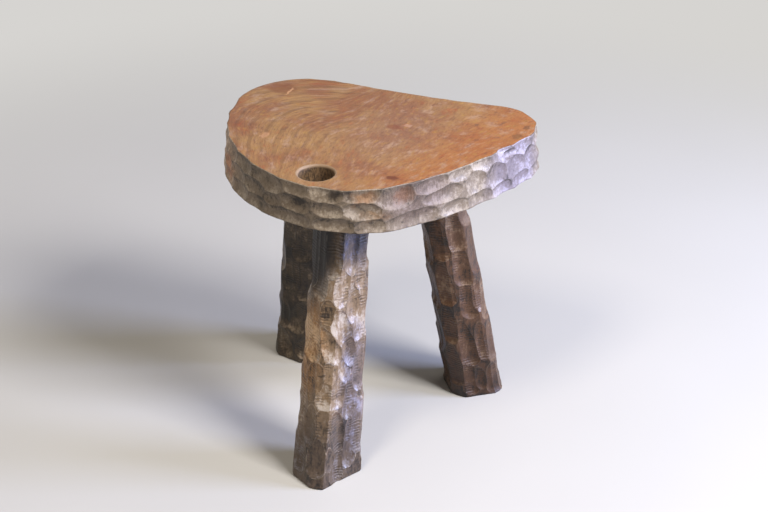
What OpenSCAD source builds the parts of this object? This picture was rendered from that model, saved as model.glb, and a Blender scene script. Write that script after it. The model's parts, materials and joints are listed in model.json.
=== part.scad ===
// Low stool of hand-hewn wood: one thick D-shaped slab on three splayed legs.
// Each leg ends in a round tenon, spread by a hidden wedge inside a blind mortise in the slab.
// Z is up from the floor, X runs along the back edge and Y from the nose to the back edge.

/* [Seat] */
// Width of the sitting face along its back edge
seat_w = 284; // [260:1:330]
// Depth of the sitting face from its nose to its back edge
seat_d = 227; // [205:1:260]
// Height of the sitting face above the floor
seat_h = 300; // [240:1:420]
// Thickness of the slab
seat_t = 41; // [34:1:56]
// Radius of the large corner at the left end of the back edge
left_corner_r = 67; // [50:1:75]
// Radius of the tighter corner at the right end of the back edge
right_corner_r = 44; // [34:1:56]
// How far the right end of the back edge lies in front of the left end
right_corner_drop = 5; // [0:1:12]
// Radius of the nose
nose_r = 83; // [65:1:95]
// Radius of the bulging side between the nose and the right corner
right_side_r = 340; // [220:5:500]
// Radius of the bulging side between the left corner and the nose
left_side_r = 170; // [145:5:400]
// Radius of the shallow hollow in the back edge
back_hollow_r = 900; // [500:50:2000]
// How far the two ends of the rim spread out towards the underside
end_flare = 4; // [0:0.5:6]
// How far the nose and the back edge are drawn in towards the underside
nose_draft = 1.5; // [0:0.5:4]

/* [Finger hole] */
// Diameter of the hole through the slab
hole_d = 32; // [24:1:36]
// Distance from the nose to the centre of the hole
hole_inset = 28; // [26:1:32]
// Distance that the hole lies to the left of the nose
hole_side = 12; // [0:1:25]
// Width of the eased edge at both ends of the hole
hole_ease = 2; // [1:0.5:3]

/* [Front leg] */
// Distance from the nose to the middle of the front leg under the slab
front_inset = 68.5; // [66:0.5:76]
// Distance that the top of the front leg lies to the left of the nose
front_side = 2.5; // [0:0.5:8]
// Direction in which the front leg leans
front_heading = 272; // [255:1:285]
// Lean of the front leg away from upright
front_splay = 12.5; // [6:0.5:15]
// Width of the front leg under the slab
front_top_w = 47; // [42:1:52]
// Width of the front leg at the floor
front_foot_w = 62; // [50:1:72]
// Radius of the gouge's swing on the front leg, on which a cut runs in: a short one leaves scoops
front_swing_r = 110; // [80:10:800]

/* [Right leg] */
// Distance from the right end of the slab to the middle of the right leg under the slab
right_end_inset = 92.5; // [80:0.5:100]
// Distance from the back of the slab to the middle of the right leg under the slab
right_back_inset = 58.5; // [50:0.5:66]
// Direction in which the right leg leans
right_heading = 48; // [35:1:60]
// Lean of the right leg away from upright
right_splay = 11; // [6:0.5:15]
// Width of the right leg under the slab
right_top_w = 44; // [40:1:54]
// Width of the right leg at the floor
right_foot_w = 59; // [46:1:68]
// Radius of the gouge's swing on the right leg: a long swing leaves long facets
right_swing_r = 300; // [80:10:800]

/* [Left leg] */
// Distance from the left end of the slab to the middle of the left leg under the slab
left_end_inset = 68.5; // [60:0.5:78]
// Distance from the back of the slab to the middle of the left leg under the slab
left_back_inset = 52; // [44:0.5:60]
// Direction in which the left leg leans
left_heading = 131; // [120:1:160]
// Lean of the left leg away from upright
left_splay = 10; // [6:0.5:15]
// Width of the left leg under the slab
left_top_w = 46; // [40:1:54]
// Width of the left leg at the floor
left_foot_w = 60; // [46:1:68]
// Radius of the gouge's swing on the left leg
left_swing_r = 140; // [80:10:800]

/* [Wedged joints] */
// Diameter of each round tenon
tenon_d = 28; // [22:1:32]
// Thickness of wood left above each blind mortise
mortise_cover = 9; // [6:1:14]
// Radial clearance between a tenon and its mortise
tenon_clearance = 0.15; // [0.05:0.05:0.4]
// Gap between the end of a tenon and the floor of its mortise
tenon_end_gap = 1; // [0.5:0.5:3]
// Length of each wedge
wedge_len = 20; // [12:1:22]
// Thickness of each wedge at its thick end
wedge_t = 5; // [3:0.5:7]
// Thickness of each wedge at its thin end
wedge_tip_t = 1.5; // [1:0.5:2.5]
// How far each end of a wedge stays inside the round of its tenon
wedge_side_gap = 1.5; // [1:0.5:4]
// Clearance between a wedge and the sides of its kerf
wedge_clearance = 0.1; // [0.05:0.05:0.3]

/* [Hewn surface] */
// Depth of an average cut below the skin of the blank
cut_depth = 3.6; // [1:0.1:4.5]
// Radius of the gouge's sweep, which makes the hollow across a cut on a leg
leg_sweep_r = 18; // [12:1:40]
// Radius of the gouge's sweep on the rim
rim_sweep_r = 13; // [9:1:30]
// Radius of the gouge's swing on the rim
rim_swing_r = 90; // [60:10:500]
// Radius of the short curve on which the gouge lifts out at the end of a cut on a leg
leg_lift_r = 14; // [8:1:60]
// Radius of the curve on which the gouge lifts out on the rim
rim_lift_r = 40; // [20:5:120]
// Rows of cuts on the unseen part of the rim, one above another
rim_cut_rows = 3; // [2:1:4]
// Spacing of the cuts along the unseen part of the rim
rim_cut_pitch = 27; // [18:1:60]
// Spacing of the cuts up the unseen side of a leg
leg_cut_pitch = 33; // [20:1:60]
// Spacing of the cuts round the unseen side of a leg, in degrees
leg_cut_turn = 30; // [20:1:60]

/* [Hidden] */

under_z = seat_h - seat_t;
facet_step = 7.5;
rim_rows = 12;
leg_facets = 48;
leg_rings = 30;
bore_fn = 72;
overshoot = 4;
tenon_root = 14;
kerf_overrun = 1;
skin = 0.7 * cut_depth;
least_cut = 0.3 * cut_depth;

function total(list, n) = n < 1 ? 0 : list[n - 1] + total(list, n - 1);
function unit(v) = v / norm(v);
function bearing(v) = atan2(v[1], v[0]);
function polar(r, a) = [r * cos(a), r * sin(a)];
function wrap(d, period) = d - period * round(d / period);

// Number from 0 to 1 that looks random and is always the same for the same k and seed
function scatter(k, seed) = let (s = sin(k * 127.1 + seed * 311.7) * 43758.5453) s - floor(s);

// Outline of the slab: three round corners joined by arcs that are tangent to both neighbours
left_corner = [left_corner_r - seat_w / 2, seat_d / 2 - left_corner_r];
right_corner = [seat_w / 2 - right_corner_r, seat_d / 2 - right_corner_drop - right_corner_r];
nose = [0, nose_r - seat_d / 2];

// Centre of the arc of radius r that joins circle a to circle b, counter-clockwise.
// A bulging arc goes round both circles (bend 1), a hollow one lies against both (bend -1).
function joining_centre(a, ra, b, rb, r, bend) =
    let (da = r - bend * ra,
         db = r - bend * rb,
         gap = norm(b - a),
         along = (da * da - db * db + gap * gap) / (2 * gap),
         aside = sqrt(da * da - along * along),
         way = unit(b - a))
    a + along * way + bend * aside * [-way[1], way[0]];

right_side = joining_centre(nose, nose_r, right_corner, right_corner_r, right_side_r, 1);
back_hollow =
    joining_centre(right_corner, right_corner_r, left_corner, left_corner_r, back_hollow_r, -1);
left_side = joining_centre(left_corner, left_corner_r, nose, nose_r, left_side_r, 1);

// Each arc: centre, radius, first bearing and turn, which is negative in the hollow
function bulge(c, r, from, to) =
    let (a = bearing(from), turn = bearing(to) - a)
    [c, r, a, turn < 0 ? turn + 360 : turn];
function hollow(c, r, from, to) = [c, r, bearing(from), bearing(to) - bearing(from)];
ARCS = [
    bulge(nose, nose_r, nose - left_side, nose - right_side),
    bulge(right_side, right_side_r, nose - right_side, right_corner - right_side),
    bulge(right_corner, right_corner_r, right_corner - right_side, back_hollow - right_corner),
    hollow(back_hollow, back_hollow_r, right_corner - back_hollow, left_corner - back_hollow),
    bulge(left_corner, left_corner_r, back_hollow - left_corner, left_corner - left_side),
    bulge(left_side, left_side_r, left_corner - left_side, nose - left_side)
];
ARC_LENGTHS = [for (a = ARCS) a[1] * abs(a[3]) * PI / 180];
rim_length = total(ARC_LENGTHS, len(ARCS));

// Stations round the outline: point, outward direction and distance from the start of the nose
RIM = [
    for (i = [0:len(ARCS) - 1])
        let (a = ARCS[i], steps = ceil(ARC_LENGTHS[i] / facet_step), start = total(ARC_LENGTHS, i))
        for (k = [0:steps - 1])
            let (t = k / steps, turned = a[2] + t * a[3])
            [a[0] + polar(a[1], turned), polar(sign(a[3]), turned), start + t * ARC_LENGTHS[i]]
];

// Gouge cuts: the hewn skin is what the deepest cut leaves at each place. A cut is the place round
// the piece where it is deepest, in 360ths of the way, its height there, its slant, and its depth in
// shares of cut_depth. Two more shares, of the usual swing and sweep, may follow. A cut runs in on
// the long curve of the swing and lifts out on a short one, so it ends like a thumb's nail. A slant
// of 0 runs straight down, 90 runs round the piece, and between them the lower end is further round.
// No wood stays at the skin of the blank, because a least cut goes all over it first.
RIM_GOUGE = [rim_sweep_r, rim_swing_r, rim_lift_r];
FRONT_GOUGE = [leg_sweep_r, front_swing_r, leg_lift_r];
RIGHT_GOUGE = [leg_sweep_r, right_swing_r, leg_lift_r];
LEFT_GOUGE = [leg_sweep_r, left_swing_r, leg_lift_r];
function share(c, i) = is_undef(c[i]) ? 1 : c[i];
function deepest(u, v, cuts, gouge, mm_per_u) =
    max([
        least_cut,
        for (c = cuts)
            let (du = wrap(u - c[0], 360) * mm_per_u,
                 dv = v - c[1],
                 along = du * sin(c[2]) - dv * cos(c[2]),
                 across = du * cos(c[2]) + dv * sin(c[2]),
                 sweep = gouge[0] * share(c, 5),
                 bend = along > 0 ? gouge[2] : gouge[1] * share(c, 4))
            c[3] * cut_depth - across * across / (2 * sweep) - along * along / (2 * bend)
    ]);

// Cuts whose heights are given in hundredths of the piece's own height
function at_height(cuts, height) =
    [for (c = cuts) [c[0], c[1] * height / 100, c[2], c[3], share(c, 4), share(c, 5)]];

// Cuts in staggered rows over the stretch that is unseen, each one moved a little off its place
place_scatter = 0.6;
row_scatter = 0.4;
slant_scatter = 24;
shallowest = 0.85;
depth_scatter = 0.25;
function cuts_in_rows(from, to, height, cols, rows, slant, seed) = [
    for (j = [0:rows - 1]) for (i = [0:cols - 1])
        let (k = i + j * cols,
             place = i + 1 / 4 + (j % 2) / 2 + place_scatter * (scatter(k, seed) - 1 / 2),
             row = j + 1 / 2 + row_scatter * (scatter(k, seed + 1) - 1 / 2))
        [
            from + place * (to - from) / cols,
            row * height / rows,
            slant + slant_scatter * (scatter(k, seed + 2) - 1 / 2),
            shallowest + depth_scatter * scatter(k, seed + 3)
        ]
];

// Cuts on the part of the rim that is seen, in three rows: long hollows round the nose, and short
// scales struck downwards towards the right corner. Their places count from the start of the nose.
SEEN_RIM = [
    [-55, 86, 90, 0.95, 2, 1.3], [-41, 85, 90, 1, 2, 1.3], [-60, 52, 92, 1, 1.5], [-47, 50, 92, 1, 1.5],
    [-33, 51, 92, 1, 1.5], [-56, 18, 92, 1, 1.5], [-43, 18, 92, 1, 1.5],
    [-28, 85, 92, 1, 1.5], [-9.5, 80, 88, 1.05, 3, 1.3], [4, 90, 90, 0.9, 1.5], [16, 88, 90, 1.05, 1.2],
    [31, 88, 92, 1, 1.2], [44, 76, 90, 1, 1.5, 2], [60, 83, 92, 0.9, 1.5, 1.2], [73.5, 88, 90, 0.9],
    [84, 90, 80, 1, 1.2], [96, 90, 84, 1, 1.2], [107.5, 88, 90, 1, 1.2],
    [-19.5, 51, 92, 1, 1.5], [-9, 42, 95, 0.9, 0.6, 0.8], [2, 51, 90, 1.2, 0.8, 0.9],
    [16, 51, 88, 1, 0.5, 0.9], [29.5, 51, 84, 1.2, 0.6], [66, 54, 92, 0.95, 2.2],
    [79, 60, 0, 1.15, 0.2, 1.9], [90.5, 57, -8, 1.2, 0.2, 1.9], [102, 55, -8, 1.2, 0.2, 1.9],
    [113, 57, -5, 1.15, 0.2, 1.9], [-30.5, 20, 92, 1, 1.2], [-18.5, 17, 95, 1, 0.8],
    [2, 15, 90, 1.05, 4], [20, 15, 90, 1.05, 1.2], [32, 15, 88, 1, 0.5], [54, 17, 90, 1.05, 3.5, 1.1],
    [69, 15, 90, 1, 0.8], [82, 13, 84, 1.1, 0.7], [94.5, 11, 80, 1.1, 0.6], [106, 13, 80, 1.1, 0.6],
    [117, 13, 85, 1, 0.8]
];
rim_seen_from = -62;
rim_seen_to = 120;
mm_per_place = rim_length / 360;
unseen_rim = (360 - rim_seen_to + rim_seen_from) * mm_per_place;
RIM_CUTS = concat(
    at_height(SEEN_RIM, seat_t),
    cuts_in_rows(rim_seen_to, 360 + rim_seen_from, seat_t,
                 round(unseen_rim / rim_cut_pitch), rim_cut_rows, 90, 5)
);

function rim_point(s, h) =
    let (cut = deepest(s[2] / mm_per_place, h, RIM_CUTS, RIM_GOUGE, mm_per_place),
         facing = pow(s[1][1], 6),
         lean = (end_flare * (1 - facing) - nose_draft * facing) * (1 - h / seat_t))
    s[0] + (lean + skin - cut) * s[1];
RIM_RINGS = [for (j = [0:rim_rows]) [for (s = RIM) rim_point(s, j * seat_t / rim_rows)]];

// A leg: top centre, foot centre, top width, foot width, direction of its lean, and lean
function leg_line(top, heading, splay, top_w, foot_w) =
    [top, top + polar(under_z * tan(splay), heading), top_w, foot_w, heading, splay];
front_top = [-front_side, front_inset - seat_d / 2];
right_top = [seat_w / 2 - right_end_inset, seat_d / 2 - right_back_inset];
left_top = [left_end_inset - seat_w / 2, seat_d / 2 - left_back_inset];
FRONT = leg_line(front_top, front_heading, front_splay, front_top_w, front_foot_w);
RIGHT = leg_line(right_top, right_heading, right_splay, right_top_w, right_foot_w);
LEFT = leg_line(left_top, left_heading, left_splay, left_top_w, left_foot_w);

// Flats split off before the gouge work: bearing, and share of the radius that is left at the foot
FRONT_FLATS = [[332, 0.68], [238, 0.92], [60, 0.86], [150, 0.88]];
RIGHT_FLATS = [[305, 0.86], [215, 0.92], [120, 0.88], [30, 0.9]];
LEFT_FLATS = [[255, 0.9], [330, 0.88], [60, 0.88], [150, 0.9]];

// Cuts on the side of each leg that is seen, with their bearings as places
FRONT_CUTS = [
    [325, 79.5, 0, 1.2, 4], [358, 72.5, 0, 1.05, 5], [245, 70.5, 0, 1, 6], [277, 79, 0, 0.9, 5],
    [222, 73.5, 0, 1, 6], [302, 69, 0, 1, 1.5, 0.75], [343, 62, 18, 1.15, 1.2],
    [273, 62, 0, 0.75, 0.6, 0.8], [313, 54.5, 24, 1.2, 1, 0.8], [334, 46, 24, 1.15, 1, 0.8],
    [292, 48.5, 28, 1.1, 1.1, 0.7], [321, 40, 20, 0.9, 0.6, 0.8], [286, 41, 0, 0.8, 0.5, 0.8],
    [242, 48.5, 0, 1, 4], [218, 50, 0, 1, 5], [361, 54, 0, 0.95, 3], [278, 32.5, 0, 1, 0.6, 0.8],
    [305, 32, 0, 1, 0.9], [341, 26.5, 0, 1.05, 1.5], [366, 35.5, 0, 1, 3], [241, 34, -12, 0.9, 1.5],
    [262, 36.5, 0, 0.85, 1, 0.8], [278, 21, 0, 0.9, 0.8], [314, 14.5, 12, 1.05, 1.6],
    [246, 17.5, -8, 1, 1.5], [218, 27, 0, 1, 3], [268, 7.5, 0, 0.95, 1.5], [316, 3, 0, 1, 1.2],
    [348, 7.5, 0, 1, 2.5], [225, 7, 0, 1.05, 2], [298, 8.5, 0, 0.7, 1, 0.7], [368, 11.5, 0, 1, 3]
];
RIGHT_CUTS = [
    [232, 81, 0, 1.2], [228, 62, 0, 1.1], [228, 42.5, 0, 1.2], [226, 23, 0, 1.1], [224, 6, 0, 1.2],
    [270, 82, 0, 1.1], [271, 65.5, 0, 1.1], [266, 45.5, 0, 1.1], [263, 28, 0, 1], [258, 8.5, 0, 1.1],
    [311, 83.5, 0, 1.1], [312, 68.5, 0, 1.1], [313, 53.5, 0, 1.1], [313, 39, 0, 1], [296, 18, 6, 1.3],
    [308, 6, 0, 0.9, 0.3], [287, 4, 0, 0.9], [352, 79, 0, 1.2], [356, 58, 0, 1.2],
    [338, 41.5, 0, 1, 0.6], [328, 19.5, 0, 1, 1, 0.8], [358, 36.5, 0, 1], [352, 17.5, 0, 1],
    [338, 3, 0, 1, 0.6], [365, 3, 0, 1]
];
LEFT_CUTS = [
    [238, 58, 0, 1, 2], [272, 53, 0, 1.2, 3], [322, 35.5, 0, 1.1, 3, 0.9], [240, 38, 0, 1],
    [262, 38.5, 0, 0.9], [289, 34, 8, 1.1, 2], [233, 18.5, 0, 1], [266, 18, -20, 1.2, 1.5],
    [244, 4, 20, 1.2], [290, 6, -25, 1.2], [245, 79, 0, 1], [285, 77, 0, 1], [322, 73.5, 0, 1],
    [352, 58, 0, 1], [350, 27, 0, 1], [330, 11.5, 0, 1.1]
];

// Rings of the hewn post, level with the floor, so that the foot and the shoulder are cut flat
flat_reach = 0.3;
function flattened(a, r, flats, t) =
    min([
        r,
        for (f = flats)
            let (facing = cos(a - f[0]))
            if (facing > flat_reach) r * (1 - (1 - f[1]) * (1 + t) / 2) / facing
    ]);
function leg_ring(leg, flats, cuts, gouge, z) =
    let (t = 1 - z / under_z,
         centre = leg[0] + t * (leg[1] - leg[0]),
         r = (leg[2] + t * (leg[3] - leg[2])) / 2)
    [for (i = [0:leg_facets - 1])
        let (a = i * 360 / leg_facets,
             cut = deepest(a, z, cuts, gouge, PI * r / 180))
        centre + polar(flattened(a, r + skin, flats, t) - cut, a)];
function rings_of(leg, flats, seen, unseen, gouge, seed) =
    let (from = unseen[0],
         to = unseen[1],
         cols = round((to - from) / leg_cut_turn),
         rows = round(under_z / leg_cut_pitch),
         rest = cuts_in_rows(from, to, under_z, cols, rows, 0, seed),
         cuts = concat(at_height(seen, under_z), rest))
    [for (j = [0:leg_rings]) leg_ring(leg, flats, cuts, gouge, j * under_z / leg_rings)];
FRONT_UNSEEN = [25, 200];
RIGHT_UNSEEN = [20, 210];
LEFT_UNSEEN = [5, 215];
FRONT_RINGS = rings_of(FRONT, FRONT_FLATS, FRONT_CUTS, FRONT_UNSEEN, FRONT_GOUGE, 21);
RIGHT_RINGS = rings_of(RIGHT, RIGHT_FLATS, RIGHT_CUTS, RIGHT_UNSEEN, RIGHT_GOUGE, 32);
LEFT_RINGS = rings_of(LEFT, LEFT_FLATS, LEFT_CUTS, LEFT_UNSEEN, LEFT_GOUGE, 43);

// The origin is on the floor, under the middle of everything
OUTERMOST = [for (ring = concat(RIM_RINGS, [FRONT_RINGS[0], RIGHT_RINGS[0], LEFT_RINGS[0]])) each ring];
XS = [for (p = OUTERMOST) p[0]];
YS = [for (p = OUTERMOST) p[1]];
middle = [min(XS) + max(XS), min(YS) + max(YS)] / 2;
hole_at = [-hole_side, hole_inset - seat_d / 2] - middle;
echo(
    hole_at = hole_at,
    front_foot = FRONT[1] - middle,
    right_foot = RIGHT[1] - middle,
    left_foot = LEFT[1] - middle,
    middle = middle,
    width = max(XS) - min(XS),
    depth = max(YS) - min(YS)
);

// Solid through level rings of points, evenly spaced from z0 to z1
module solid_of_rings(rings, z0, z1) {
    n = len(rings[0]);
    rows = len(rings) - 1;
    points = [
        for (j = [0:rows]) for (p = rings[j])
            [p[0] - middle[0], p[1] - middle[1], z0 + j * (z1 - z0) / rows]
    ];
    sides = [
        for (j = [0:rows - 1]) for (i = [0:n - 1])
            let (a = j * n + i, b = j * n + (i + 1) % n)
            each [[a, a + n, b], [b, a + n, b + n]]
    ];
    under = [for (i = [0:n - 1]) i];
    over = [for (i = [0:n - 1]) rows * n + n - 1 - i];
    polyhedron(points = points, faces = concat(sides, [under, over]), convexity = 4);
}

// Places its children on a leg's axis, with the underside of the slab at height 0
module on_axis(leg) {
    translate([leg[0][0] - middle[0], leg[0][1] - middle[1], under_z])
        rotate([0, -leg[5], leg[4]])
            children();
}

// Depth of a leg's mortise along its axis: its highest edge stays mortise_cover below the sitting face
mortise_r = tenon_d / 2 + tenon_clearance;
function mortise_depth(leg) = (seat_t - mortise_cover - mortise_r * sin(leg[5])) / cos(leg[5]);

module mortise(leg) {
    low = mortise_r * tan(leg[5]) + overshoot;
    on_axis(leg)
        translate([0, 0, -low])
            cylinder(r = mortise_r, h = mortise_depth(leg) + low, $fn = bore_fn);
}

module finger_hole() {
    mouth_d = hole_d + 2 * (hole_ease + overshoot);
    translate([hole_at[0], hole_at[1], under_z]) {
        translate([0, 0, -overshoot])
            cylinder(d = hole_d, h = seat_t + 2 * overshoot, $fn = bore_fn);
        translate([0, 0, -overshoot])
            cylinder(d1 = mouth_d, d2 = hole_d, h = hole_ease + overshoot, $fn = bore_fn);
        translate([0, 0, seat_t - hole_ease])
            cylinder(d1 = hole_d, d2 = mouth_d, h = hole_ease + overshoot, $fn = bore_fn);
    }
}

// Tapered blade across the grain of the slab, from its thin end at tip_z to its thick end at end_z
module blade(leg, tip_z, end_z, tip_t, end_t, across) {
    tip = tip_t / 2;
    end = end_t / 2;
    on_axis(leg)
        rotate([90, 0, -leg[4]])
            translate([0, 0, -across / 2])
                linear_extrude(across)
                    polygon([[-tip, tip_z], [tip, tip_z], [end, end_z], [-end, end_z]]);
}

module seat() {
    color("peru")
        difference() {
            solid_of_rings(RIM_RINGS, under_z, seat_h);
            finger_hole();
            mortise(FRONT);
            mortise(RIGHT);
            mortise(LEFT);
        }
}

module leg(leg, rings) {
    depth = mortise_depth(leg);
    slope = (wedge_t - wedge_tip_t) / wedge_len;
    kerf_from = depth - wedge_len - kerf_overrun;
    tip_t = wedge_tip_t + 2 * wedge_clearance - kerf_overrun * slope;
    end_t = wedge_t + 2 * wedge_clearance + overshoot * slope;
    color("saddlebrown")
        difference() {
            union() {
                solid_of_rings(rings, 0, under_z);
                on_axis(leg)
                    translate([0, 0, -tenon_root])
                        cylinder(d = tenon_d, h = tenon_root + depth - tenon_end_gap, $fn = bore_fn);
            }
            blade(leg, kerf_from, depth + overshoot, tip_t, end_t, tenon_d + overshoot);
        }
}

module wedge(leg) {
    depth = mortise_depth(leg);
    color("tan")
        blade(leg, depth - wedge_len, depth, wedge_tip_t, wedge_t, tenon_d - 2 * wedge_side_gap);
}

module leg_front() { leg(FRONT, FRONT_RINGS); }
module leg_right() { leg(RIGHT, RIGHT_RINGS); }
module leg_left() { leg(LEFT, LEFT_RINGS); }
module wedge_front() { wedge(FRONT); }
module wedge_right() { wedge(RIGHT); }
module wedge_left() { wedge(LEFT); }

seat();
leg_front();
leg_right();
leg_left();
wedge_front();
wedge_right();
wedge_left();
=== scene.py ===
# %% [markdown]
# # A hand-hewn stool
# The stool is one thick slab of wood on three splayed legs. A gouge has left hollows on the rim and
# on the legs, and the sitting face is smoothed and oiled. The slab and the legs are rebuilt here as
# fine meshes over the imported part. Geometry Nodes make every gouge cut, procedural materials make
# the wood, and the three small wedges keep their own solids.

import json
import math
from collections import namedtuple

import bpy
import numpy as np
from mathutils import Matrix, Vector


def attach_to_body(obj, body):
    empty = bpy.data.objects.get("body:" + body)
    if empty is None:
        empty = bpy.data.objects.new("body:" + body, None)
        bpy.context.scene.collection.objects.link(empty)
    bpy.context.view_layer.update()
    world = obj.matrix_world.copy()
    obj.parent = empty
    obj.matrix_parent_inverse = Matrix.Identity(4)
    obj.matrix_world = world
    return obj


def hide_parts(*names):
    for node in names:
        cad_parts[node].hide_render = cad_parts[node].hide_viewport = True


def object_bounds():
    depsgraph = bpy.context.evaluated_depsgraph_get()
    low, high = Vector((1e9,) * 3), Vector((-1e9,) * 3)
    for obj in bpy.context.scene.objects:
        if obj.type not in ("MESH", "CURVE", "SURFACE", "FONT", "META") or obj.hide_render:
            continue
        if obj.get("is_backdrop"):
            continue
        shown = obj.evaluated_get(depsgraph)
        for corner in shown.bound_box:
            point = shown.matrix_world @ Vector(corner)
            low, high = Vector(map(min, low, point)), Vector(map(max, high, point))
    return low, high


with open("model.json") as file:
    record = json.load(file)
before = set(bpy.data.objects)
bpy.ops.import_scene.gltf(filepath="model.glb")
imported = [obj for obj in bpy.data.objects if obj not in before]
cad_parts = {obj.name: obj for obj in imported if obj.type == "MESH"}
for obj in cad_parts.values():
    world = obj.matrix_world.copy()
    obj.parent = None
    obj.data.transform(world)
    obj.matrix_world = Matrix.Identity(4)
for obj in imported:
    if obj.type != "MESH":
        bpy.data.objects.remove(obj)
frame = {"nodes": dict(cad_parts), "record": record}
cad_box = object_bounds()
print("nodes:", sorted(frame["nodes"]))

# %% [markdown]
# ## Sizes
# The drawing of the stool is in millimetres, with its origin in the middle of the slab. The packed
# part has its origin under the middle of everything, so the place of the finger hole, which both
# know, gives the step from one to the other. A blank is larger than the finished piece by a skin,
# and the gouge takes at least a thin cut everywhere.

# %% Sizes of the stool, in millimetres
MM = 0.001
SEAT_W, SEAT_D, SEAT_H, SEAT_T = 284, 227, 300, 41
LEFT_CORNER_R, RIGHT_CORNER_R, RIGHT_CORNER_DROP, NOSE_R = 67, 44, 5, 83
RIGHT_SIDE_R, LEFT_SIDE_R, BACK_HOLLOW_R = 340, 170, 900
END_FLARE, NOSE_DRAFT = 4, 1.5
UNDER_Z = SEAT_H - SEAT_T
HOLE = np.array([-12, 28 - SEAT_D / 2])
HOLE_R, HOLE_EASE = 16, 2
TENON_R, TENON_GAP, TENON_BEVEL, MORTISE_GAP, MORTISE_COVER = 14, 1, 0.6, 0.15, 9
KERF_DEPTH, KERF_THIN, KERF_THICK, KERF_OVER = 21, 1.5, 5.9, 4
CUT_DEPTH = 3.6
SKIN, LEAST_CUT, WORN, WANDER = 0.7 * CUT_DEPTH, 0.3 * CUT_DEPTH, 0.25, 1.6
SHARP_EDGE, A_HAIR = math.radians(16), 0.02
mounts = {m["name"]: m for m in frame["record"]["mounts"]}
SHIFT = HOLE - np.array(mounts["hang_hole"]["pos_m"][:2]) / MM


def at(x, y, z):
    """A point of the drawing as a point of the part's frame, in metres."""
    return Vector((x - SHIFT[0], y - SHIFT[1], z)) * MM


print("the drawing's origin lies at", np.round(-SHIFT, 2), "mm in the part's frame")

# %% [markdown]
# ## The camera
# It stands in front of the nose, a little to the right, and looks down at the sitting face. A long
# lens keeps the perspective mild. The camera is turned by two angles only, so the legs stand upright
# in the picture.

# %% Camera
LOOKS_ALONG, LOOKS_DOWN = 110.0, 28.26
SENSOR_W, PICTURE_W, FOCAL_PIXELS = 36, 768, 1722
camera = bpy.data.objects.new("camera", bpy.data.cameras.new("camera"))
bpy.context.scene.collection.objects.link(camera)
camera.location = at(504.58, -1332.62, 943)
camera.rotation_euler = (math.radians(90 - LOOKS_DOWN), 0, math.radians(LOOKS_ALONG - 90))
camera.data.sensor_width = SENSOR_W
camera.data.lens = FOCAL_PIXELS / PICTURE_W * SENSOR_W
camera.data.clip_start = 0.05
bpy.context.scene.camera = camera
print("camera at", [round(v, 3) for v in camera.location], "lens", round(camera.data.lens, 1), "mm")

# %% [markdown]
# ## Small helpers for node trees
# Shader trees and geometry trees are wired the same way: make a node, fill its inputs in order, and
# pass its output on. An output is kept as a wire. Wires are added and multiplied like numbers, and
# each sum adds the node that does it, so a tree reads like the rule that it follows.

# %% Helpers that wire nodes
class Wire:
    """An output of a node. A sum with it adds the node that works the sum out."""

    def __init__(self, socket):
        self.socket, self.tree = socket, socket.id_data

    def to(self, socket):
        self.tree.links.new(self.socket, socket)

    def __add__(self, other):
        return calc("ADD", self, other)

    def __sub__(self, other):
        return calc("SUBTRACT", self, other)

    def __rsub__(self, other):
        return calc("SUBTRACT", other, self)

    def __mul__(self, other):
        return calc("MULTIPLY", self, other)

    def __truediv__(self, other):
        return calc("DIVIDE", self, other)


def fill(socket, value):
    """Gives an input its wire or its value. None leaves it as it is."""
    if isinstance(value, Wire):
        value.to(socket)
    elif value is not None:
        socket.default_value = value


def node(tree, kind, *values, **settings):
    """Adds a node. Its settings come first, then each input in order."""
    made = tree.nodes.new(kind)
    for name, value in settings.items():
        setattr(made, name, value)
    for socket, value in zip([s for s in made.inputs if s.enabled], values):
        fill(socket, value)
    return made


def out(made, index=0):
    """An output of a node, by its place among those in use."""
    return Wire([s for s in made.outputs if s.enabled][index])


def reckon(kind, values, **settings):
    """The first output of a node that is added beside the first wire among its values."""
    tree = next(v.tree for v in values if isinstance(v, Wire))
    return out(node(tree, kind, *values, **settings))


def calc(operation, *values):
    """One step of arithmetic on numbers."""
    return reckon("ShaderNodeMath", values, operation=operation)


def vector_calc(operation, *values):
    """One step of arithmetic on vectors."""
    return reckon("ShaderNodeVectorMath", values, operation=operation)


def xyz(vector):
    """The three numbers of a vector."""
    made = node(vector.tree, "ShaderNodeSeparateXYZ", vector)
    return [out(made, i) for i in range(3)]


def smooth_step(value, low, high):
    """Rises smoothly from 0 to 1 while value goes from low to high."""
    return reckon("ShaderNodeMapRange", (value, low, high, 0.0, 1.0), interpolation_type="SMOOTHSTEP")


# %% [markdown]
# ## The gouge cuts
# Each stroke of the gouge leaves a hollow: round across, after the gouge's own sweep, long and
# shallow where the gouge came in, and short and steep where it was levered out. Where hollows meet,
# the deeper one wins, and a crisp ridge stays between them. That is a rule, so Geometry Nodes can
# cut a whole leg at once: a repeat zone visits every mark, works out how deep that stroke goes at
# every point of the blank, and keeps the deepest. It also keeps what the finish needs later: how far
# along its stroke a point lies, which stroke won, and how near the next ridge is.

# %% The tree that makes the gouge cuts
def new_tree(name, inputs):
    """A geometry tree and its inputs, each given as (name, kind, value)."""
    tree = bpy.data.node_groups.new(name, "GeometryNodeTree")
    for way in ("OUTPUT", "INPUT"):
        tree.interface.new_socket(name="Geometry", in_out=way, socket_type="NodeSocketGeometry")
    for label, kind, value in inputs:
        socket = tree.interface.new_socket(name=label, in_out="INPUT", socket_type="NodeSocket" + kind)
        if value is not None:
            socket.default_value = value
    return tree, {s.name: Wire(s) for s in tree.nodes.new("NodeGroupInput").outputs if s.name}


def named(tree, name, kind="FLOAT"):
    """Reads a named attribute."""
    return out(node(tree, "GeometryNodeInputNamedAttribute", name, data_type=kind))


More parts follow.
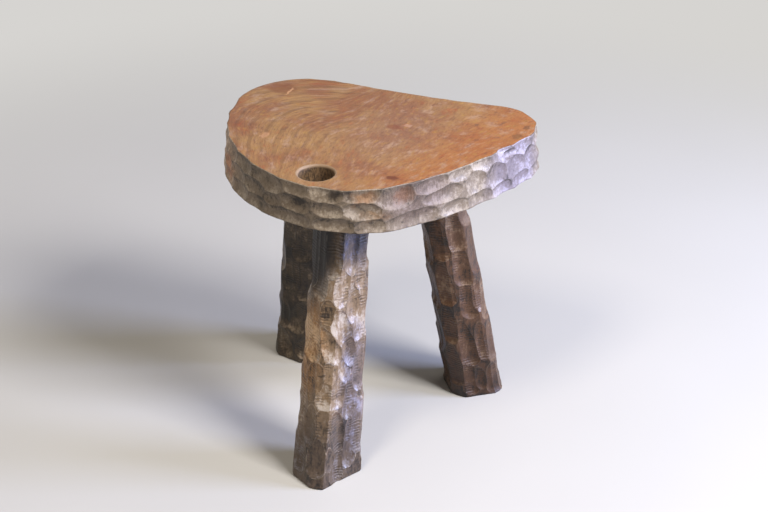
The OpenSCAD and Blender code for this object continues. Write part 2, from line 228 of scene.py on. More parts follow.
def store(geometry, name, value, selection=None):
    """Writes a named attribute, where selection says so."""
    return reckon("GeometryNodeStoreNamedAttribute", (geometry, selection, name, value),
                  data_type="FLOAT", domain="POINT")


def one_stroke(tree, given, place, shape):
    """Depth of one stroke at each point, and how far along the stroke the point lies, both in mm."""
    u, v, slant = xyz(place)
    share, swing, sweep = xyz(shape)
    drift = named(tree, "drift")
    aside = named(tree, "round") - u
    aside = aside - calc("ROUND", aside / given["Period"]) * given["Period"]
    aside = aside * named(tree, "mm_per_round") + drift
    above = named(tree, "height") - v + drift
    sine, cosine = calc("SINE", slant), calc("COSINE", slant)
    along = aside * sine - above * cosine
    across = aside * cosine + above * sine
    ends = calc("GREATER_THAN", along, 0.0)
    radius = ends * given["End radius mm"] + (1.0 - ends) * (swing * given["Swing radius mm"])
    depth = share * given["Cut depth mm"] - across * across / (sweep * (given["Sweep radius mm"] * 2.0))
    return depth - along * along / (radius * 2.0), along


def gouge_tree():
    """Cuts a blank by every mark of a second object, and keeps what the finish reads later."""
    tree, given = new_tree("gouge_cuts", [
        ("Marks", "Object", None), ("Side", "String", "side"), ("Cut depth mm", "Float", CUT_DEPTH),
        ("Sweep radius mm", "Float", 18.0), ("Swing radius mm", "Float", None), ("End radius mm", "Float", 14.0),
        ("Least cut mm", "Float", LEAST_CUT), ("Skin mm", "Float", SKIN - WORN), ("Period", "Float", 360.0),
        ("Seed", "Float", None), ("Finish", "Material", None)])
    side = named(tree, given["Side"], "BOOLEAN")
    marks = out(node(tree, "GeometryNodeObjectInfo", given["Marks"]), 4)
    position = out(node(tree, "GeometryNodeInputPosition"))
    wander = reckon("ShaderNodeTexNoise", (position, given["Seed"], 110.0, 1.0, 0.5), noise_dimensions="4D")
    drift = (wander - 0.5) * WANDER
    blank = store(given["Geometry"], "drift", drift)
    blank = store(blank, "deepest", given["Least cut mm"] + drift * 0.4, side)
    blank = store(blank, "runner_up", -9.0, side)
    start = tree.nodes.new("GeometryNodeRepeatInput")
    end = tree.nodes.new("GeometryNodeRepeatOutput")
    start.pair_with_output(end)
    reckon("GeometryNodeAttributeDomainSize", (marks,), component="MESH").to(start.inputs["Iterations"])
    blank.to(start.inputs["Geometry"])
    turn = Wire(start.outputs["Iteration"])
    place, shape, tone = (
        reckon("GeometryNodeSampleIndex", (marks, named(tree, name, kind), turn), data_type=kind)
        for name, kind in (("place", "FLOAT_VECTOR"), ("shape", "FLOAT_VECTOR"), ("tone", "FLOAT")))
    depth, along = one_stroke(tree, given, place, shape)
    cut = store(Wire(start.outputs["Geometry"]), "this_cut", depth, side)
    best, this = named(tree, "deepest"), named(tree, "this_cut")
    wins = reckon("FunctionNodeCompare", (this, best), data_type="FLOAT", operation="GREATER_THAN")
    wins = reckon("FunctionNodeBooleanMath", (wins, side), operation="AND")
    second = calc("MAXIMUM", named(tree, "runner_up"), calc("MINIMUM", best, this))
    cut = store(cut, "runner_up", second, side)
    for name, value in (("run", along), ("tone", tone), ("deepest", this)):
        cut = store(cut, name, value, wins)
    cut.to(end.inputs["Geometry"])
    skin = (given["Skin mm"] - best) * MM * named(tree, "free")
    push = vector_calc("SCALE", named(tree, "outward", "FLOAT_VECTOR"), skin)
    hewn = reckon("GeometryNodeSetPosition", (Wire(end.outputs["Geometry"]), side, None, push))
    hewn = reckon("GeometryNodeRealizeInstances", (hewn,))
    hewn = reckon("GeometryNodeSetMaterial", (hewn, side, given["Finish"]))
    hewn.to(tree.nodes.new("NodeGroupOutput").inputs["Geometry"])
    return tree


GOUGE = gouge_tree()
print("gouge tree:", len(GOUGE.nodes), "nodes")

# %% [markdown]
# ## Marks
# A mark says where a stroke is deepest: its place round the piece, its height, its slant, and its
# depth in shares of the usual depth. Two more numbers stretch its run-in and its width. A slant of 0
# runs straight down, and a positive one carries the lower end further round. The marks on the side
# that is seen are chosen one by one, and staggered rows of marks cover the rest. Each mark becomes
# one point of a small mesh, which the tree reads.

# %% Helpers that make marks
def scatter(k, seed):
    """A number from 0 to 1 that looks random and is always the same."""
    s = math.sin(math.radians(k * 127.1 + seed * 311.7)) * 43758.5453
    return s - math.floor(s)


def rows_of_marks(low, high, height, columns, rows, slant, seed):
    """Marks in staggered rows, each one moved a little off its place."""
    marks = []
    for j in range(rows):
        for i in range(columns):
            k = i + j * columns
            place = i + 0.25 + (j % 2) / 2 + 0.6 * (scatter(k, seed) - 0.5)
            row = j + 0.5 + 0.4 * (scatter(k, seed + 1) - 0.5)
            marks.append([low + place * (high - low) / columns, row * height / rows,
                          slant + 24 * (scatter(k, seed + 2) - 0.5), 0.85 + 0.25 * scatter(k, seed + 3)])
    return marks


def mesh_piece(name, points, faces=()):
    """A new mesh at the origin of the scene, from points in metres."""
    piece = bpy.data.objects.new(name, bpy.data.meshes.new(name))
    piece.data.from_pydata(points, [], faces)
    bpy.context.scene.collection.objects.link(piece)
    return piece


def at_height(marks, height):
    """Marks whose heights are given in hundredths of the piece's own height."""
    return [[place, share * height / 100, *rest] for place, share, *rest in marks]


def marks_object(marks, seed):
    """A mesh with one point for each mark, and the mark's numbers as its attributes."""
    full = [[*m, *[1.0] * (6 - len(m))] for m in marks]
    piece = mesh_piece("marks", [(m[0] * MM, m[1] * MM, 0) for m in full])
    for label, kind, field, numbers in (
            ("place", "FLOAT_VECTOR", "vector", [c for m in full for c in (m[0], m[1], math.radians(m[2]))]),
            ("shape", "FLOAT_VECTOR", "vector", [c for m in full for c in m[3:6]]),
            ("tone", "FLOAT", "value", [scatter(i, seed + 7) for i in range(len(full))])):
        piece.data.attributes.new(label, kind, "POINT").data.foreach_set(field, numbers)
    return piece


# %% [markdown]
# ## Running the tree
# A modifier's inputs are set by each socket's identifier before the piece is first evaluated. The
# result is then made a plain mesh, and the modifier goes.

# %% Helpers that apply modifiers
def settle(piece):
    """Turns a piece with live modifiers into a plain mesh."""
    graph = bpy.context.evaluated_depsgraph_get()
    mesh = bpy.data.meshes.new_from_object(piece.evaluated_get(graph), preserve_all_data_layers=True, depsgraph=graph)
    piece.modifiers.clear()
    old, piece.data = piece.data, mesh
    bpy.data.meshes.remove(old)


def gouge(piece, marks, seed, **inputs):
    """Cuts a piece by its marks. An underscore in the name of an input stands for a space."""
    places = marks_object(marks, seed)
    modifier = piece.modifiers.new(GOUGE.name, "NODES")
    modifier.node_group = GOUGE
    sockets = {s.name: s.identifier for s in GOUGE.interface.items_tree if s.in_out == "INPUT"}
    for name, value in {"Marks": places, "Seed": float(seed), **inputs}.items():
        modifier[sockets[name.replace("_", " ")]] = value
    settle(piece)
    bpy.data.objects.remove(places)


def combine(piece, other, operation):
    """Joins another closed mesh to a piece, or cuts it out, and removes the other."""
    modifier = piece.modifiers.new(operation.lower(), "BOOLEAN")
    modifier.solver, modifier.operation, modifier.object = "MANIFOLD", operation, other
    settle(piece)
    bpy.data.objects.remove(other)


def soften(piece):
    """Shades a piece smooth between its sharp edges."""
    piece.data.polygons.foreach_set("use_smooth", np.ones(len(piece.data.polygons), bool))
    piece.data.set_sharp_from_angle(angle=SHARP_EDGE)


# %% [markdown]
# ## Blanks
# A blank is a closed skin of level rings, fine enough to carry every ridge. It carries what the tree
# reads: place round the piece, height, outward direction, and which side a point belongs to.

# %% Helpers that skin rings
def ring_faces(rows, cols):
    """Faces between rings of points, row by row, and the pairs of neighbours round one ring."""
    pairs = list(zip(range(cols), [*range(1, cols), 0]))
    low = [j * cols for j in range(rows - 1)]
    return [(a + i, a + k, a + cols + k, a + cols + i) for a in low for i, k in pairs], pairs


def skin(name, rings, outward, **values):
    """A closed mesh through rings of points in mm, with fans at its ends and what the gouge tree reads."""
    rows, cols = rings.shape[:2]
    points = np.vstack([rings.reshape(-1, 3), rings[0].mean(0), rings[-1].mean(0)])
    points -= np.array([SHIFT[0], SHIFT[1], 0])
    faces, pairs = ring_faces(rows, cols)
    last, middle = (rows - 1) * cols, rows * cols
    faces += [(k, i, middle) for i, k in pairs] + [(last + i, last + k, middle + 1) for i, k in pairs]
    piece = mesh_piece(name, (points * MM).tolist(), faces)
    piece.data.validate()

    def attach(label, kind, field, array, *width):
        padded = np.zeros((rows * cols + 2, *width), bool if kind == "BOOLEAN" else np.float32)
        padded[:-2] = np.broadcast_to(array, (rows, cols, *width)).reshape(-1, *width)
        piece.data.attributes.new(label, kind, "POINT").data.foreach_set(field, padded.ravel())

    attach("outward", "FLOAT_VECTOR", "vector", outward, 3)
    for label, array in values.items():
        attach(label, "BOOLEAN" if label.startswith("side") else "FLOAT", "value", array)
    return piece


# %% [markdown]
# ## The slab's outline
# Three round corners of different radius are joined by arcs that touch both neighbours: two that
# bulge and, along the back edge, one long shallow hollow. The same construction draws the solid, so
# the fine slab and the solid have one outline.

# %% Outline of the slab
def joining_centre(a, ra, b, rb, r, bend):
    """Centre of the arc of radius r that joins circle a to circle b: bend 1 bulges, -1 is hollow."""
    da, db, gap = r - bend * ra, r - bend * rb, np.linalg.norm(b - a)
    along = (da ** 2 - db ** 2 + gap ** 2) / (2 * gap)
    aside = math.sqrt(da ** 2 - along ** 2)
    way = (b - a) / gap
    return a + along * way + bend * aside * np.array([-way[1], way[0]])


def bearing(v):
    """Direction of a vector in degrees, counted from the right."""
    return math.degrees(math.atan2(v[1], v[0]))


def arc(centre, r, start, stop, bend=1):
    """An arc as its centre, radius, first bearing and turn."""
    turn = (bearing(stop) - bearing(start)) % 360
    return centre, r, bearing(start), turn if bend > 0 else turn - 360


left_corner = np.array([LEFT_CORNER_R - SEAT_W / 2, SEAT_D / 2 - LEFT_CORNER_R])
right_corner = np.array([SEAT_W / 2 - RIGHT_CORNER_R, SEAT_D / 2 - RIGHT_CORNER_DROP - RIGHT_CORNER_R])
nose = np.array([0, NOSE_R - SEAT_D / 2])
right_side = joining_centre(nose, NOSE_R, right_corner, RIGHT_CORNER_R, RIGHT_SIDE_R, 1)
back_hollow = joining_centre(right_corner, RIGHT_CORNER_R, left_corner, LEFT_CORNER_R, BACK_HOLLOW_R, -1)
left_side = joining_centre(left_corner, LEFT_CORNER_R, nose, NOSE_R, LEFT_SIDE_R, 1)
ARCS = [
    arc(nose, NOSE_R, nose - left_side, nose - right_side),
    arc(right_side, RIGHT_SIDE_R, nose - right_side, right_corner - right_side),
    arc(right_corner, RIGHT_CORNER_R, right_corner - right_side, back_hollow - right_corner),
    arc(back_hollow, BACK_HOLLOW_R, right_corner - back_hollow, left_corner - back_hollow, -1),
    arc(left_corner, LEFT_CORNER_R, back_hollow - left_corner, left_corner - left_side),
    arc(left_side, LEFT_SIDE_R, left_corner - left_side, nose - left_side),
]
LENGTHS = np.array([r * math.radians(abs(turn)) for _, r, _, turn in ARCS])
RIM_LENGTH = LENGTHS.sum()


def station(s):
    """Point and outward direction of the outline at a distance from the start of the nose."""
    i = int(np.searchsorted(np.cumsum(LENGTHS), s, side="right")) % len(ARCS)
    centre, r, start, turn = ARCS[i]
    angle = math.radians(start + turn * (s - LENGTHS[:i].sum()) / LENGTHS[i])
    way = np.array([math.cos(angle), math.sin(angle)])
    return centre + r * way, way * math.copysign(1, turn)


print("the rim is", round(RIM_LENGTH), "mm long")

# %% [markdown]
# ## Wood, step by step
# Every finish reads Object coordinates in millimetres, so the grain keeps its true size and runs
# through each piece. All the finishes share these helpers.

# %% Helpers for the finishes
def rgb(r, g, b):
    """A colour as it is seen, from 0 to 255, made linear for the shader."""
    def linear(c):
        c /= 255
        return c / 12.92 if c <= 0.04045 else ((c + 0.055) / 1.055) ** 2.4
    return linear(r), linear(g), linear(b), 1.0


def mix(share, a, b, blend="MIX"):
    """Mixes two colours."""
    return reckon("ShaderNodeMix", (share, a, b), data_type="RGBA", blend_type=blend)


def noise(place, scale, detail=2.0, rough=0.5, colour=False):
    """Noise from 0 to 1, or as a colour."""
    return out(node(place.tree, "ShaderNodeTexNoise", place, scale, detail, rough), 1 if colour else 0)


def stretched(place, x, y, z):
    """Coordinates stretched by a share along each axis."""
    return vector_calc("MULTIPLY", place, (x, y, z))


def shaken(place, amount, scale, detail, rough):
    """Coordinates pushed about by noise, over an amount in millimetres."""
    push = vector_calc("SUBTRACT", noise(place, scale, detail, rough, colour=True), (0.5, 0.5, 0.5))
    return vector_calc("ADD", place, vector_calc("SCALE", push, amount))


def spot(place, centre, half, soft):
    """1 inside an oval spot in millimetres, falling softly to 0 at its edge."""
    away = vector_calc("DIVIDE", vector_calc("SUBTRACT", place, centre), half)
    return smooth_step(vector_calc("LENGTH", away), 1.0, 1.0 - soft)


def new_material(name):
    """An empty material, and Object coordinates in millimetres."""
    material = bpy.data.materials.new(name)
    material.use_nodes = True
    material.node_tree.nodes.clear()
    place = out(node(material.node_tree, "ShaderNodeTexCoord"), 3)
    return material, vector_calc("SCALE", place, 1000.0)


def close(colour, rough, height, bump, specular, coat=0.0, coat_rough=0.03):
    """The shader and its bump. Numbers that are the same all over go on the sockets themselves."""
    shader = node(colour.tree, "ShaderNodeBsdfPrincipled")
    relief = node(colour.tree, "ShaderNodeBump")
    for name, value in {"Strength": 1.0, "Distance": bump * MM, "Height": height}.items():
        fill(relief.inputs[name], value)
    for name, value in {"Base Color": colour, "Roughness": rough, "Normal": out(relief), "Coat Weight": coat,
                        "Specular IOR Level": specular, "Coat Roughness": coat_rough}.items():
        fill(shader.inputs[name], value)
    out(shader).to(node(colour.tree, "ShaderNodeOutputMaterial").inputs["Surface"])


def attribute(tree, name):
    """A number that the gouge tree has stored."""
    return out(node(tree, "ShaderNodeAttribute", attribute_name=name, attribute_type="GEOMETRY"), 2)


# %% [markdown]
# ## The oiled sitting face
# The grain fans out from the nose. On the left half it bends over into arches round a heart line, and
# faint growth rings follow them. Orange wood runs down the right side, the middle is pinkish brown
# and the nose tan. Fibres, hairs, flecks and mottles are all noise in one place along the grain and
# one across it, so every mark follows the arches. A dark knot, a rough fleck and some brown stains
# sit where the real slab has them. The oil leaves a soft satin.

# %% Colours and stains of the sitting face
OIL_BROWN, OIL_TAN, OIL_PINK, OIL_ORANGE = rgb(134, 88, 60), rgb(154, 116, 76), rgb(138, 101, 80), rgb(160, 98, 54)
OIL_GREY, OIL_RUST, OIL_DARK, OIL_PALE = rgb(174, 142, 120), rgb(148, 80, 48), rgb(84, 52, 36), rgb(196, 152, 106)
OIL_OLIVE, OIL_PLUM = rgb(164, 124, 66), rgb(114, 74, 58)
FAN_LENGTH, HEART_X, HEART_Y = 190, 8.0, -15.0
STAINS = [
    ((53.8, -68.8), (7.5, 5.5), (98, 50, 34), 0.85),
    ((19, 33), (9, 8), (120, 64, 46), 0.65),
    ((30, 40), (5, 4), (190, 152, 128), 0.5),
    ((128, 15), (3, 6), (214, 206, 208), 0.9),
    ((131, 51), (6, 8), (108, 70, 46), 0.6),
    ((134, 73), (4, 6), (100, 66, 44), 0.6),
    ((-112, 82), (20, 15), (110, 60, 38), 0.6),
    ((-103, 78), (2, 12), (206, 156, 116), 0.6),
    ((-85, -24), (4, 9), (206, 156, 120), 0.4),
]


# %% Finish of the sitting face
def oiled_sitting_face():
    """Oiled wood with a fan of grain at the nose and arches on the left."""
    material, place = new_material("oiled_sitting_face")
    x, y, _ = xyz(shaken(place, 14.0, 0.012, 2.0, 0.55))
    at_x = xyz(place)[0]
    arches = smooth_step(at_x, 15.0, -60.0)
    off = (x - HEART_X) / (y / FAN_LENGTH + (1 + SEAT_D / 2 / FAN_LENGTH))
    beyond = calc("MAXIMUM", y - HEART_Y, 0.0)
    away = calc("SQRT", off * off + beyond * beyond * 0.5)
    across = off * (1.0 - arches) + away * (arches * -1.0)
    grain_place = reckon("ShaderNodeCombineXYZ", (across, y, 0.0))
    fibre = noise(stretched(grain_place, 1.0, 0.14, 1.0), 0.42, 4.0, 0.7)
    hair = noise(stretched(grain_place, 1.0, 0.08, 1.0), 1.7, 3.0, 0.65)
    mottle = noise(stretched(grain_place, 1.0, 0.4, 1.0), 0.1, 5.0, 0.7)
    fleck = noise(stretched(grain_place, 1.0, 0.3, 1.0), 0.3, 4.0, 0.7)
    colour = mix(smooth_step(noise(place, 0.02), 0.38, 0.62), OIL_BROWN, OIL_TAN)
    colour = mix(spot(place, (25, 20, 300), (75, 110, 60), 0.9) * 0.6, colour, OIL_PINK)
    colour = mix(smooth_step(at_x - y * 0.25, 30.0, 105.0) * 0.8, colour, OIL_ORANGE)
    colour = mix(spot(place, (0, -110, 300), (95, 50, 60), 0.8) * 0.55, colour, OIL_TAN)
    for field, low, high, share, tint in (
            (mottle, 0.5, 0.68, 0.66, OIL_GREY), (mottle, 0.46, 0.3, 0.78, OIL_RUST),
            (fleck, 0.52, 0.7, 0.62, OIL_OLIVE), (fleck, 0.47, 0.3, 0.7, OIL_PLUM),
            (fibre, 0.5, 0.72, 0.3, OIL_PALE), (fibre, 0.48, 0.28, 0.28, OIL_DARK), (hair, 0.52, 0.68, 0.4, OIL_DARK)):
        colour = mix(smooth_step(field, low, high) * share, colour, tint)
    uneven = noise(place, 0.03)
    ring = calc("SINE", away * 0.7 + uneven * 3.5)
    fine_ring = calc("SINE", away * 2.4 + uneven * 5.0)
    worn_ring = arches * smooth_step(noise(place, 0.04), 0.35, 0.6)
    colour = mix(smooth_step(ring, 0.2, 1.0) * worn_ring * 0.36, colour, OIL_DARK)
    colour = mix(smooth_step(fine_ring, 0.3, 1.0) * (worn_ring + 0.2) * 0.15, colour, OIL_DARK)
    ragged = shaken(place, 7.0, 0.2, 3.0, 0.6)
    for centre, half, tint, share in STAINS:
        colour = mix(spot(ragged, (*centre, SEAT_H), (*half, 20), 0.5) * share, colour, rgb(*tint))
    close(colour, fibre * 0.3 + 0.3, hair * 0.7 + fibre * 0.6, bump=0.25, specular=0.2, coat=0.05, coat_rough=0.3)
    return material


SITTING_FACE = oiled_sitting_face()
print("finish:", SITTING_FACE.name)

# %% [markdown]
# ## The hewn surfaces
# A gouged surface isn't one colour. Each stroke has its own tone, the blade's chatter leaves fine
# ripples across the stroke, and ridges are rubbed pale. Dark wax and painted shade darken the wood
# beside the ridges that look down, and dust and a painted highlight make the lips that look up paler.
# All of this reads the attributes that the gouge tree has stored, so it follows the real cuts. Soft
# patches of another tint sit where the real stool has them: rust on the rim and a golden flank on the
# front leg. Other patches are painted light and shade: a painted shadow of the slab on the front leg's
# top, painted blue sheen on its top and right flank, and painted lavender sheen on the rim's right
# corner. A tint above 255 makes the wood under it lighter.

# %% Finish of a gouged surface
def hewn_wood(name, dark, middle, pale, ridge, stretch, patches=(), gloss=0.3, coat=0.4, strokes=0.4, clouds=0.4,
              lip_dust_and_highlight=0.7, chatter=0.6, wear=0.5, wax_and_shade_share=0.45, ridge_shade_colour=None):
    """Hewn wood: its dark, middle and pale colour, its ridge colour, and soft patches of other tints."""
    material, place = new_material(name)
    tree = place.tree
    facing_up = xyz(out(node(tree, "ShaderNodeTexCoord"), 1))[2]
    long_grain = noise(stretched(place, *stretch), 0.42, 4.0, 0.7)
    fibre = noise(stretched(place, *stretch), 1.9, 3.0, 0.65)
    # Dust and a painted highlight: the lips that look up are made paler.
    dust_and_painted_highlight = facing_up * smooth_step(facing_up, 0.85, 0.6)
    share = (attribute(tree, "tone") - 0.5) * strokes
    share = share + smooth_step(noise(place, 0.045, 4.0, 0.65), 0.32, 0.68) * clouds + (long_grain - clouds / 2)
    share = share + (noise(place, 0.3, 4.0, 0.7) - 0.5) * 0.9 + dust_and_painted_highlight * lip_dust_and_highlight
    colour = mix(smooth_step(share, 0.0, 0.5), dark, middle)
    colour = mix(smooth_step(share, 0.5, 1.0), colour, pale)
    ragged = shaken(place, 24.0, 0.07, 4.0, 0.65)
    for centre, half, tint, amount in patches:
        colour = mix(spot(ragged, centre, half, 0.6) * amount, colour, mix(1.0, colour, rgb(*tint), "MULTIPLY"))
    colour = mix(smooth_step(fibre, 0.48, 0.7) * 0.3, colour, dark)
    colour = mix(smooth_step(noise(place, 0.22), 0.66, 0.74) * 0.7, colour, dark)
    near = attribute(tree, "deepest") - attribute(tree, "runner_up")
    # Dark wax and painted shade: the wood beside the ridges that look down is darkened.
    wax_and_painted_shade = smooth_step(near, 0.9, 0.2) * smooth_step(facing_up, 0.15, -0.2)
    colour = mix(wax_and_painted_shade * wax_and_shade_share, colour, ridge_shade_colour or dark)
    worn = smooth_step(near, 0.25, 0.02) * smooth_step(long_grain, 0.3, 0.6)
    colour = mix(worn * wear, colour, ridge)
    patchy = smooth_step(noise(place, 0.07, 1.0), 0.38, 0.6)
    ripple = calc("SINE", attribute(tree, "run") * 2.2 + noise(place, 0.12) * 9.0)
    ripple = ripple * smooth_step(near, 0.05, 0.4) * patchy
    colour = mix(smooth_step(ripple, 0.2, 1.0) * (0.3 * chatter), colour, dark)
    height = ripple * chatter + fibre * 1.1 + noise(place, 0.45, 4.0, 0.65)
    close(colour, long_grain * 0.3 + gloss, height, bump=0.2, specular=0.35, coat=coat, coat_rough=0.2)
    return material


# %% The five gouged finishes
# Each patch is a centre, its half sizes, a tint and a share.
FRONT_PATCHES = [
    # Painted shadow of the slab on the front leg's top, in the next two patches.
    ((-20, -72, 224), (34, 44, 74), (58, 52, 60), 1.0),
    ((-10, -66, 268), (40, 60, 40), (100, 94, 104), 1.0),
    # Painted blue sheen on the right of the front leg's top.
    ((20, -66, 238), (18, 40, 50), (112, 132, 208), 1.0),
    ((0, -100, 0), (70, 70, 90), (164, 166, 184), 0.9),
    # Painted blue sheen down the front leg's right flank.
    ((22, -92, 110), (14, 40, 120), (196, 206, 255), 0.9),
    ((-18, -90, 130), (22, 40, 64), (312, 282, 240), 0.9),
]
RIM_PATCHES = [
    ((-125, -30, 280), (60, 60, 60), (312, 298, 292), 1.0),
    ((74, -64, 284), (50, 50, 30), (214, 206, 214), 1.0),
    ((34, -95, 291), (26, 14, 9), (228, 178, 122), 0.75),
    ((64, -74, 290), (22, 16, 8), (226, 172, 120), 0.7),
    ((42, -90, 274), (26, 14, 7), (230, 184, 128), 0.7),
    ((-112, -34, 274), (24, 34, 14), (240, 172, 112), 0.7),
    ((131, 11, 295), (5, 5, 4), (60, 56, 60), 0.95),
    # Painted lavender sheen on the rim's right corner.
    ((144, 28, 280), (42, 58, 60), (250, 258, 316), 1.0),
    ((1, -104, 285), (9, 9, 7), (100, 88, 78), 0.9),
    ((-20, -108, 284), (12, 9, 5), (110, 98, 88), 0.8),
    ((18, -103, 294), (14, 10, 8), (100, 90, 82), 0.9),
]
FRONT_WOOD = hewn_wood(
    "waxed_front_leg", rgb(44, 33, 25), rgb(126, 103, 78), rgb(176, 162, 148), rgb(212, 196, 176), (1.0, 1.0, 0.2),
    FRONT_PATCHES, gloss=0.36, coat=0.2, clouds=0.5, lip_dust_and_highlight=0.4, chatter=1.3, wear=0.35, wax_and_shade_share=0.75, ridge_shade_colour=rgb(86, 54, 36))
RIGHT_WOOD = hewn_wood(
    "waxed_right_leg", rgb(26, 17, 10), rgb(82, 54, 33), rgb(124, 99, 76), rgb(146, 122, 100), (1.0, 1.0, 0.15),
    [((80, 90, 0), (90, 90, 90), (196, 190, 184), 0.9)], gloss=0.34, coat=0.15, clouds=0.5, lip_dust_and_highlight=0.4, chatter=0.8,
    wear=0.2)
LEFT_WOOD = hewn_wood(
    "waxed_left_leg", rgb(26, 20, 13), rgb(66, 53, 38), rgb(128, 110, 88), rgb(140, 120, 98), (1.0, 1.0, 0.2),
    gloss=0.34, coat=0.2, clouds=0.6, lip_dust_and_highlight=0.5, chatter=0.8, wear=0.2)
RIM_WOOD = hewn_wood(
    "weathered_rim", rgb(58, 49, 40), rgb(119, 104, 87), rgb(162, 148, 131), rgb(180, 166, 149), (0.8, 0.8, 0.6),
    RIM_PATCHES, gloss=0.45, coat=0.1, strokes=0.15, clouds=0.5, lip_dust_and_highlight=0.5, chatter=0.2, wear=0.25)
UNDER_WOOD = hewn_wood(
    "rough_underside", rgb(96, 72, 52), rgb(140, 108, 80), rgb(168, 134, 100), rgb(178, 146, 112), (0.12, 1.0, 1.0),
    gloss=0.55, coat=0.0, lip_dust_and_highlight=0.0)
print("finishes:", [m.name for m in (FRONT_WOOD, RIGHT_WOOD, LEFT_WOOD, RIM_WOOD, UNDER_WOOD)])

# %% [markdown]
# ## The legs
# Each leg is a split post, wider at the foot, with a few broad flats and gouge cuts all round. Its
# shoulder and foot are cut level. Round the foot a narrow worn edge softens the cut. The tenon is
# turned in line with the leg and has a saw kerf for its wedge. On the front and the left leg the cuts
# go a little deeper than in the solids, so that their ridges stand sharp.

# %% Marks on the legs
Leg = namedtuple("Leg", "top heading lean top_w foot_w swing_r deeper")
LEGS = {
    "front": Leg((-2.5, 68.5 - SEAT_D / 2), 272, 12.5, 47, 62, 110.0, 1.22),
    "right": Leg((SEAT_W / 2 - 92.5, SEAT_D / 2 - 58.5), 48, 11, 44, 59, 300.0, 1.0),
    "left": Leg((68.5 - SEAT_W / 2, SEAT_D / 2 - 52), 131, 10, 46, 60, 140.0, 1.15),
}
FLATS = {
    "front": [(332, 0.68), (238, 0.92), (60, 0.86), (150, 0.88)],
    "right": [(305, 0.86), (215, 0.92), (120, 0.88), (30, 0.9)],
    "left": [(255, 0.9), (330, 0.88), (60, 0.88), (150, 0.9)],
}
SEEN = {
    "front": [
        [325, 79.5, 0, 1.2, 4], [358, 72.5, 0, 1.05, 5], [245, 70.5, 0, 1, 6], [277, 79, 0, 0.9, 5],
        [222, 73.5, 0, 1, 6], [302, 69, 0, 1, 1.5, 0.75], [343, 62, 18, 1.15, 1.2],
        [273, 62, 0, 0.75, 0.6, 0.8], [313, 54.5, 24, 1.2, 1, 0.8], [334, 46, 24, 1.15, 1, 0.8],
        [292, 48.5, 28, 1.1, 1.1, 0.7], [321, 40, 20, 0.9, 0.6, 0.8], [286, 41, 0, 0.8, 0.5, 0.8],
        [242, 48.5, 0, 1, 4], [218, 50, 0, 1, 5], [361, 54, 0, 0.95, 3], [278, 32.5, 0, 1, 0.6, 0.8],
        [305, 32, 0, 1, 0.9], [341, 26.5, 0, 1.05, 1.5], [366, 35.5, 0, 1, 3], [241, 34, -12, 0.9, 1.5],
        [262, 36.5, 0, 0.85, 1, 0.8], [278, 21, 0, 0.9, 0.8], [314, 14.5, 12, 1.05, 1.6],
        [246, 17.5, -8, 1, 1.5], [218, 27, 0, 1, 3], [268, 7.5, 0, 0.95, 1.5], [316, 3, 0, 1, 1.2],
        [348, 7.5, 0, 1, 2.5], [225, 7, 0, 1.05, 2], [298, 8.5, 0, 0.7, 1, 0.7], [368, 11.5, 0, 1, 3]],
    "right": [
        [232, 81, 0, 1.2], [228, 62, 0, 1.1], [228, 42.5, 0, 1.2], [226, 23, 0, 1.1], [224, 6, 0, 1.2],
        [270, 82, 0, 1.1], [271, 65.5, 0, 1.1], [266, 45.5, 0, 1.1], [263, 28, 0, 1], [258, 8.5, 0, 1.1],
        [311, 83.5, 0, 1.1], [312, 68.5, 0, 1.1], [313, 53.5, 0, 1.1], [313, 39, 0, 1], [296, 18, 6, 1.3],
        [308, 6, 0, 0.9, 0.3], [287, 4, 0, 0.9], [352, 79, 0, 1.2], [356, 58, 0, 1.2],
        [338, 41.5, 0, 1, 0.6], [328, 19.5, 0, 1, 1, 0.8], [358, 36.5, 0, 1], [352, 17.5, 0, 1],
        [338, 3, 0, 1, 0.6], [365, 3, 0, 1]],
    "left": [
        [238, 58, 0, 1, 2], [272, 53, 0, 1.2, 3], [322, 35.5, 0, 1.1, 3, 0.9], [240, 38, 0, 1],
        [262, 38.5, 0, 0.9], [289, 34, 8, 1.1, 2], [233, 18.5, 0, 1], [266, 18, -20, 1.2, 1.5],
        [244, 4, 20, 1.2], [290, 6, -25, 1.2], [245, 79, 0, 1], [285, 77, 0, 1], [322, 73.5, 0, 1],
        [352, 58, 0, 1], [350, 27, 0, 1], [330, 11.5, 0, 1.1]],
}
UNSEEN = {"front": (25, 200, 21), "right": (20, 210, 32), "left": (5, 215, 43)}
print("marks chosen on the legs:", sum(len(m) for m in SEEN.values()))

# %% Build the three legs
LEG_COLS, LEG_ROWS, FOOT_EASE, EVERY_DEG, EVERY_MM = 232, 300, 1.3, 30, 33


